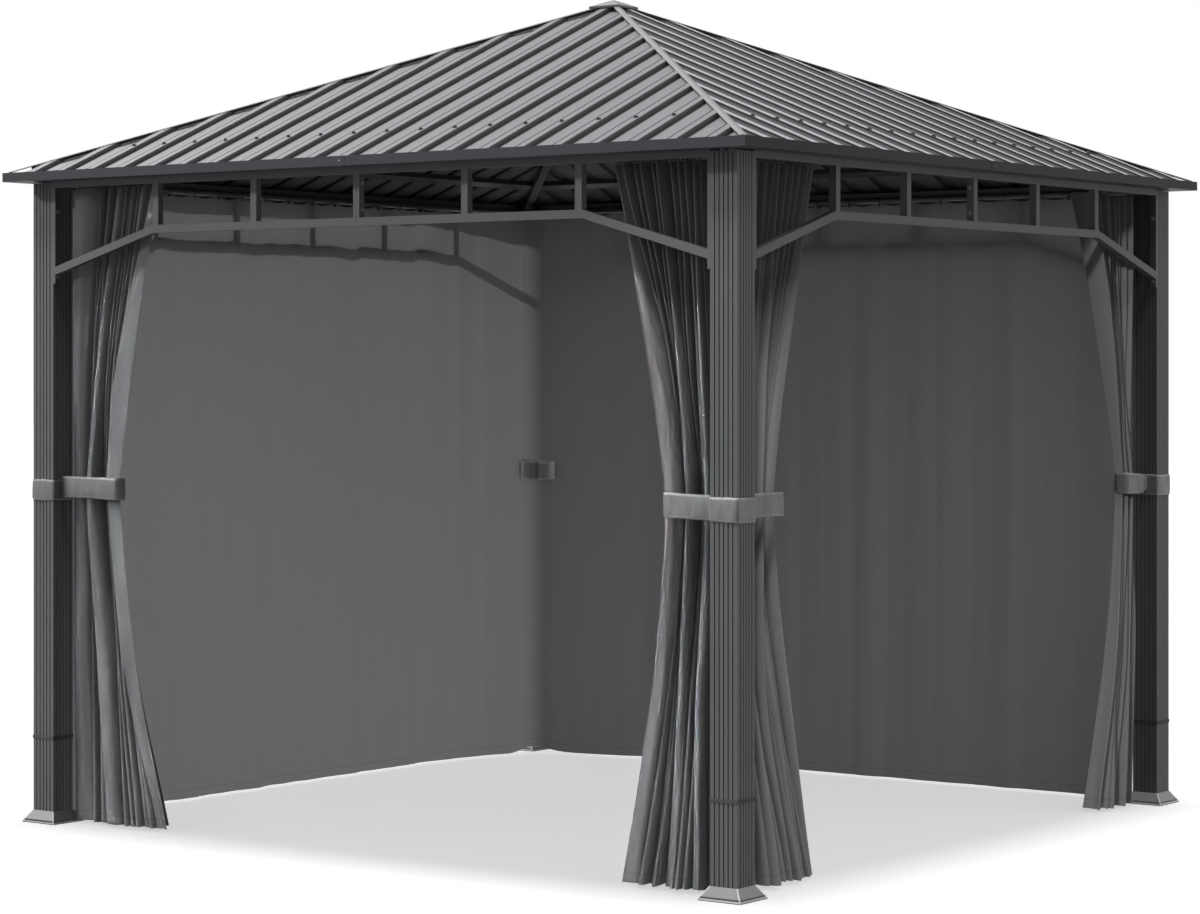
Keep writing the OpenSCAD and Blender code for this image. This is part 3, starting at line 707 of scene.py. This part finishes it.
ring = {
    "radius": 0.0128,
    "wire": 0.0016,
    "round": (20, 8),     # points round the ring and round its wire
    "clip": (0.0035, 0.006),  # half the clip's width and depth
    "chamfer": 0.0015,
    "clipZ": (-0.0125, -0.0195),  # its top and foot below the ring's middle
}
steps, wireSteps = ring["round"]
angle = np.arange(steps)[:, None] * tau / steps
turn = np.arange(wireSteps)[None, :] * tau / wireSteps
wide = ring["radius"] + ring["wire"] * np.cos(turn)
thick = ring["wire"] * np.sin(turn) + 0 * angle
ringPoints = np.stack([thick, wide * np.cos(angle), wide * np.sin(angle)], -1).reshape(-1, 3)
ringShape = ringPoints, outwards(ringPoints, gridFaces(steps + 1, wireSteps, True) % len(ringPoints))
clipLine = np.linspace((0, 0, ring["clipZ"][0]), (0, 0, ring["clipZ"][1]), 5)
halfX, halfY = ring["clip"]
inX, inY = halfX - ring["chamfer"], halfY - ring["chamfer"]
clipOutline = [(-halfX, -inY), (-inX, -halfY), (inX, -halfY), (halfX, -inY),
               (halfX, inY), (inX, halfY), (-inX, halfY), (-halfX, inY)]
oneRing = joined([ringShape, swept(clipOutline, clipLine, (0, 1, 0))])
ringZ = poleZ - ring["radius"] + ring["wire"] + poleR
places = np.array([turned(np.array([a, -postOff, ringZ]), side) for side, a in ringPlaces])
axes = np.array([turned(np.eye(3), side) for side, a in ringPlaces])
makePiece("curtain_rings", copies(oneRing, places, axes), ringPlastic, sharp=40)
print("curtains hung,", len(ringPlaces), "rings")

# Tieback straps: a hemmed band carried round the post and round each bundle

strap = {
    "height": strapHigh.z - strapLow.z,
    "thick": 0.0016,
    "hem": 0.0026,        # thickness at the folded edges
    "hemAt": 0.8,         # share of the half height from which the hem thickens
    "hemEase": 0.12,      # and over which it does
    "bulge": 0.0015,
    "post": postHalf + 0.0016,
    "postCorner": 0.004,
    "sink": 0.0004,       # creases go no deeper than this
    "knotR": 0.022,       # reach of a knot
    "knotDraw": 0.5,      # share of the height that it takes up
    "count": 240,
}


def strapBand(path, length, raised, tilt, ripple, seed, knot):
    # the band's section stands on the path: out and up pairs from the lower edge up and back down inside
    rng = np.random.default_rng(seed)
    n = len(path)
    tangent = np.roll(path, -1, 0) - np.roll(path, 1, 0)
    tangent /= np.linalg.norm(tangent, axis=1, keepdims=True)
    out = np.stack([tangent[:, 1], -tangent[:, 0]], -1)
    area = (path[:, 0] * np.roll(path[:, 1], -1) - np.roll(path[:, 0], -1) * path[:, 1]).sum()
    out *= np.sign(area)
    v = np.linspace(-1, 1, 13)
    edge = np.clip((np.abs(v) - strap["hemAt"]) / strap["hemEase"], 0, 1)
    skin = strap["thick"] + (strap["hem"] - strap["thick"]) * edge
    skin *= np.sqrt(np.clip(1.15 - np.abs(v) ** 16, 0, 1))      # rounded off at both edges
    bulge = strap["bulge"] * (1 - v * v)
    outer = np.stack([skin + bulge, v * strap["height"] / 2], -1)
    inner = np.stack([bulge * 0.5, v * strap["height"] / 2], -1)[::-1]
    section = np.concatenate([outer, inner])
    along = np.arange(n) / n
    p = rng.uniform(0, tau, 8)
    crease = sum(np.sin(tau * (k + 2) * along + p[k]) / (1 + 0.3 * k) for k in range(5))
    lean = sum(np.sin(tau * (k + 1) * along + p[k + 4]) / (k + 1) for k in range(3))
    push = ripple * (crease[:, None] + 0.6 * lean[:, None] * section[None, :, 1] / strap["height"] * 4)
    reach = section[None, :, 0] + np.clip(push, -strap["sink"], None)
    height = 1 - 0.05 * np.abs(lean)
    if knot:        # the band is drawn together where it is knotted, by a bell curve of the distance
        distance = ((path - knot) ** 2).sum(1)
        height = height * (1 - strap["knotDraw"] * np.exp(-distance / strap["knotR"] ** 2))
    level = strapZ + raised + section[None, :, 1] * height[:, None]
    level = level + tilt * np.sin(tau * along + p[7])[:, None]
    xy = path[:, None] + out[:, None] * reach[..., None]
    points = np.concatenate([xy, level[..., None]], -1).reshape(-1, 3)
    faces = gridFaces(n + 1, len(section), True) % (n * len(section))
    uv = np.stack([np.repeat(along[:, None] * length, len(section), 1),
                   np.repeat(strapMiddle + section[None, :, 1], n, 0)], -1)
    return points, outwards(points, faces), uv.reshape(-1, 2)


def addStrap(name, corners, radius, side, raised, tilt, ripple, seed, count=strap["count"], knot=None):
    path, length = roundedLoop(corners, radius, count)
    points, faces, uv = strapBand(path, length, raised, tilt, ripple, seed, knot)
    made = makePiece(name, (turned(points, side), faces), strapCloth, ("tiebacks",), uv)


a, b = postOff - strap["post"], postOff + strap["post"]
square = [(a, -b), (b, -b), (b, -a), (a, -a)]
for side, corner in enumerate(("front_right", "back_right", "back_left", "front_left")):
    addStrap(corner + "_post_strap", square, strap["postCorner"], side,
             raised=-0.003, tilt=0.002, ripple=0.0005, seed=40 + side)

bundle = {
    "clear": 0.001,       # between the strap and the folds
    "tipBack": 0.002,     # the loop's end stands this far outside the folds
    "postGap": 0.003,     # from the post's face to the ends of the loop
    "ends": (0.012, 0.04),  # depth of the two ends
    "corner": 0.012,
    "knot": (0.02, 0.02),  # from the post's face, and in depth
    "loose": 1.28,        # a bundle that begins short of this is knotted to the post
}


def bundleStrap(name, spec, side, mirror, seed):
    # from the strap on the post round the bundle and back, in the frame of the corner's front side
    near, far = spec["strap"]
    outer = tied["outerY"] - bundle["clear"]
    inner = tied["outerY"] + spec["depth"][1] + bundle["clear"]
    tip = outer + (inner - outer) * (1 - spec["thin"])
    start, end = postInner - bundle["postGap"], far - bundle["tipBack"]
    loop = [(start, outer + bundle["ends"][0]), (near, outer), (end, outer), (end, tip),
            ((near + far) / 2, inner), (near, inner), (start, outer + bundle["ends"][1])]
    knot = (postInner - bundle["knot"][0], outer + bundle["knot"][1])
    if mirror:      # the right-hand bundle of a corner: swap the axes about the corner's diagonal
        loop = [(-y, -x) for x, y in loop]
        knot = (-knot[1], -knot[0])
    addStrap(name, loop, bundle["corner"], side, raised=0.004, tilt=0.003, ripple=0.0011, seed=seed,
             knot=knot if near < bundle["loose"] else None)


for name, curtain, side, mirror, seed in (
        ("front_right_front_strap", "front_right", 0, False, 51),
        ("front_right_right_strap", "right_front", 0, True, 52),
        ("back_right_right_strap", "right_back", 1, False, 53),
        ("front_left_front_strap", "front_left", 3, True, 54)):
    bundleStrap(name, tiedCurtains[curtain + "_curtain"], side, mirror, seed)

# The back left strap holds no curtain: its two loops hang inside the corner of the drawn curtains
bow = {"knot": (1.257, -1.257), "length": 0.105, "width": 0.030, "corner": 0.03, "count": 120}
lens = [(0, 0), (0.25, -0.5), (0.75, -0.5), (1, 0), (0.75, 0.5), (0.25, 0.5)]    # along and across a loop
kx, ky = bow["knot"]
for label, along, across, seed in (("back", (-1, 0), (0, 1), 61), ("left", (0, 1), (-1, 0), 62)):
    corners = [(kx + along[0] * u * bow["length"] + across[0] * v * bow["width"],
                ky + along[1] * u * bow["length"] + across[1] * v * bow["width"]) for u, v in lens]
    addStrap("back_left_bow_" + label, corners, bow["corner"], 2,
             raised=0.004, tilt=0.004, ripple=0.001, seed=seed, count=bow["count"])
print("straps tied")

# Roof screws: one in the top of each rib over the purlins

roof = {
    "angle": math.radians(22.3),
    "eaveZ": 2.201,       # underside of the sheet at the eave
    "rise": 0.0135,       # rib and sheet
    "screwIn": 0.234,     # from the eave face
    "screws": 8,          # on each side of the middle
}
screwHead = revolved([(0.0068, 0.0018), (0.0068, 0.0026), (0.0046, 0.003), (0.0046, 0.0068),
                      (0.0036, 0.0074)], 12, [2, 3])
washer = revolved([(0.0085, -0.0005), (0.0088, 0.0008), (0.0078, 0.002), (0.005, 0.0022)], 16)
slopeSin, slopeCos = math.sin(roof["angle"]), math.cos(roof["angle"])
slopeAxes = np.array([[1.0, 0, 0], [0, slopeCos, slopeSin], [0, -slopeSin, slopeCos]])
rowX = np.arange(-roof["screws"], roof["screws"] + 1) * ribs["pitch"]
foot = np.array([0, -roofHalf + roof["screwIn"], roof["eaveZ"] + roof["screwIn"] * math.tan(roof["angle"])])
screwRow = foot + slopeAxes[2] * roof["rise"] + rowX[:, None] * slopeAxes[0]
screwPlaces = np.concatenate([turned(screwRow, side) for side in range(4)])
screwAxes = np.repeat([turned(slopeAxes, side) for side in range(4)], len(screwRow), 0)
makePiece("roof_screws", copies(screwHead, screwPlaces, screwAxes), screwSteel, sharp=35)
makePiece("roof_washers", copies(washer, screwPlaces, screwAxes), washerRubber, sharp=50)
print("roof screws,", len(screwPlaces))


def onAllSides(shape):
    return joined([(turned(shape[0], side), shape[1]) for side in range(4)])


# Foam fillers close the sheet's ends under the hip caps

filler = {"from": 0.06, "to": 2.02, "half": 0.007, "low": 0.001, "high": 0.0125, "crown": 0.002}
hipAngle = math.atan(math.tan(roof["angle"]) / math.sqrt(2))
apexZ = roof["eaveZ"] + roofHalf * math.tan(roof["angle"])
plan = np.linspace(filler["from"], filler["to"], 40)
hipPath = np.stack([plan / math.sqrt(2), -plan / math.sqrt(2), apexZ - plan * math.tan(hipAngle)], -1)
fillerLow, fillerHigh = filler["low"] / slopeCos, filler["high"] / slopeCos
shoulder = fillerHigh - filler["crown"]
section = [(-filler["half"], fillerLow), (filler["half"], fillerLow), (filler["half"], shoulder),
           (0, fillerHigh), (-filler["half"], shoulder)]
foam = swept(section, hipPath, (0, 0, 1))
makePiece("hip_fillers", onAllSides(foam), washerRubber, sharp=30)

# Fascia joints: one half laps over the other, held by a rivet

lap = {"thick": 0.0009, "start": -0.030, "end": 0.012, "rivet": -0.007}
faceY, lowZ, topZ = fasciaLow.y, fasciaLow.z, fasciaHigh.z
lapSection = [(0, 0), (lap["thick"], -lap["thick"]), (lap["thick"], topZ - lowZ), (0, topZ - lowZ)]
lapPath = np.linspace((lap["start"], faceY, lowZ), (lap["end"], faceY, lowZ), 5)
lapFace = swept(lapSection, lapPath, (0, 0, 1))
rivetHead = revolved([(0.0036, -0.0002), (0.0034, 0.0006), (0.0026, 0.0014), (0.0012, 0.0018)], 14)
rivetAxes = np.array([[[1.0, 0, 0], [0, 0, 1], [0, -1, 0]]])
rivetPlace = np.array([[lap["rivet"], faceY - lap["thick"], (lowZ + topZ) / 2]])
rivet = copies(rivetHead, rivetPlace, rivetAxes)
makePiece("fascia_laps", onAllSides(lapFace), fasciaShadedPaint, sharp=30)
makePiece("fascia_rivets", onAllSides(rivet), screwSteel, sharp=50)

# Bolts: through the end plates of the trusses, and through the struts that meet in the middle

bolt = {
    "r": 0.0065,
    "plateX": 0.0093,     # from the end of the truss to the plate's inner face
    "plateZ": (1.862, 2.085),
    "middleX": 0.0125,    # from the middle to the strut's face
    "middleZ": (2.055, 2.138),
}
boltHead = revolved([(0.009, -0.0004), (0.009, 0.0014), (bolt["r"], 0.0016), (bolt["r"], 0.005),
                     (0.0052, 0.0058)], 12, [2, 3])
trussY = (trussLow.y + trussHigh.y) / 2
spots, ways = [], []
for side in range(4):
    for hand in (-1, 1):
        for facing, x, heights in ((-hand, trussHigh.x - bolt["plateX"], bolt["plateZ"]),
                                   (hand, bolt["middleX"], bolt["middleZ"])):
            for z in heights:
                spots.append(turned(np.array([hand * x, trussY, z]), side))
                ways.append(turned(np.array([[0, 1.0, 0], [0, 0, facing], [facing, 0, 0]]), side))
boltHeads = copies(boltHead, np.array(spots), np.array(ways))
makePiece("truss_bolts", boltHeads, screwSteel, sharp=35)
print("fasteners set")

# Floor, light and camera

studio = {
    "floor": 60.0,
    "floorTone": 0.95,    # the floor's own white, as the camera sees it
    "floorGlow": 0.54,    # added to it so that it shows plain white
    "floorBounce": 0.25,  # share of the light that the floor throws back
    "horizon": 0.38,      # soft light from the sides
    "zenith": 0.15,       # and from above
}
# Lamps far away: strength, width of the disc in degrees, where the light comes from
lamps = {
    "roof": (4.4, 12.0, (-0.72, 0.22, 0.66)),
    "slope": (7.4, 3.0, (-0.45, 0.35, 0.82)),
    "sun": (3.9, 2.0, (-0.82, -0.19, 0.54)),
    "side": (2.7, 4.0, (-0.78, -0.45, 0.43)),
    "front": (4.1, 8.0, (-0.22, -0.33, 0.92)),
    "right": (1.7, 12.0, (0.36, -0.2, 0.91)),
    "folds": (1.0, 10.0, (-0.62, -0.70, 0.36)),
    "cloth": (2.9, 6.0, (0.22, -0.40, 0.89)),
    "far": (1.4, 3.0, (0.22, -0.94, 0.27)),
    "room": (1.2, 70.0, (0.76, -0.5, 0.02)),
    "bow": (3.2, 70.0, (0.55, -0.75, 0.3)),
    "overhead": (1.25, 11.0, (0, 0, 1)),
}


def grey(level):
    return (level, level, level, 1)


def seenDirectly(tree):
    # 1 for what the camera sees, also in reflections and through surfaces, 0 for light on the object
    seen = addNode(tree, "LightPath").outputs
    direct = maths(tree, "MAXIMUM", seen["Is Camera Ray"], seen["Is Glossy Ray"])
    return maths(tree, "MAXIMUM", direct, seen["Is Transmission Ray"])


half = studio["floor"]
floorMesh = bpy.data.meshes.new("floor")
floorCorners = [(-half, -half, 0), (half, -half, 0), (half, half, 0), (-half, half, 0)]
floorMesh.from_pydata(floorCorners, [], [(0, 1, 2, 3)])
floor = bpy.data.objects.new("floor", floorMesh)
scene.collection.objects.link(floor)
floorPaint, tree = newMaterial("white_studio_floor")
pale = addNode(tree, "BsdfDiffuse", {"Color": grey(studio["floorTone"])})
white = addNode(tree, "Emission", {"Color": grey(1), "Strength": studio["floorGlow"]})
shown = addNode(tree, "AddShader", {0: pale.outputs[0], 1: white.outputs[0]})
bounce = addNode(tree, "BsdfDiffuse", {"Color": grey(studio["floorBounce"])})
both = addNode(tree, "MixShader", {0: seenDirectly(tree), 1: bounce.outputs[0], 2: shown.outputs[0]})
floorMesh.materials.append(surfaced(floorPaint, both))

world = bpy.data.worlds.new("studio")
world.use_nodes = True
scene.world = world
tree = world.node_tree
tree.nodes.clear()
way = addNode(tree, "SeparateXYZ", {0: addNode(tree, "TexCoord").outputs["Generated"]})
soft = ranged(tree, way.outputs["Z"], studio["horizon"], studio["zenith"])
glow = addNode(tree, "Mix", {"data_type": "FLOAT", 0: seenDirectly(tree), 2: soft, 3: 1.0})
sky = addNode(tree, "Background", {"Color": grey(1), "Strength": glow.outputs[0]})
addNode(tree, "OutputWorld", {"Surface": sky.outputs[0]})

# Each lamp lights only its own receivers
meshes = [o for o in scene.objects if o.type == "MESH" and o != floor]
walls = [o for o in meshes if "_drawn_" in o.name or "_bow_" in o.name]
covering = [o for o in meshes if "roof" in o.name or "_cap" in o.name]
standing = [o for o in meshes if o not in walls and o not in covering]
tiedSheets = [o for o in standing if "_tied_" in o.name]
tiedOrStraps = [o for o in standing if "_tied_" in o.name or "_strap" in o.name]
litFromRight = [o for o in standing if "right" in o.name or o.name == "front_left_post"]
receivers = {
    "roof": [o for o in covering if o != nodes["right_roof_panel"]],
    "slope": [nodes["right_roof_panel"]],
    "sun": walls,
    "side": standing,
    "front": [o for o in standing if "base_cover" not in o.name],
    "right": [o for o in litFromRight if "fascia" not in o.name],
    "folds": [o for o in tiedOrStraps if o.name.startswith("front")],
    "cloth": [o for o in tiedSheets if o.name.startswith("right_front")],
    "far": [o for o in tiedSheets if o.name.startswith("right_back")],
    "room": walls,
    "bow": [o for o in walls if "_bow_" in o.name],
    "overhead": [floor],
}
for name, (strength, width, (x, y, z)) in lamps.items():
    data = bpy.data.lights.new(name, "SUN")
    data.energy = strength
    data.angle = math.radians(width)
    lamp = bpy.data.objects.new(name, data)
    scene.collection.objects.link(lamp)
    tilt = math.acos(z / math.sqrt(x * x + y * y + z * z))
    lamp.rotation_euler = (tilt, 0, math.atan2(y, x) + math.pi / 2)
    lit = bpy.data.collections.new(name + "_receivers")
    for thing in receivers[name]:
        lit.objects.link(thing)
    lamp.light_linking.receiver_collection = lit

view = {"place": (6.6299, -9.5527, 1.5419), "turn": 37.756, "lens": 99.52, "shift": (0.1333, -0.0716)}
cameraData = bpy.data.cameras.new("camera")
cameraData.sensor_width = 36
cameraData.lens = view["lens"]
cameraData.shift_x, cameraData.shift_y = view["shift"]
camera = bpy.data.objects.new("camera", cameraData)
camera.location = view["place"]
camera.rotation_euler = (math.radians(90), 0, math.radians(view["turn"]))
scene.collection.objects.link(camera)
scene.camera = camera
scene.view_settings.view_transform = "Standard"

print("scene ready")
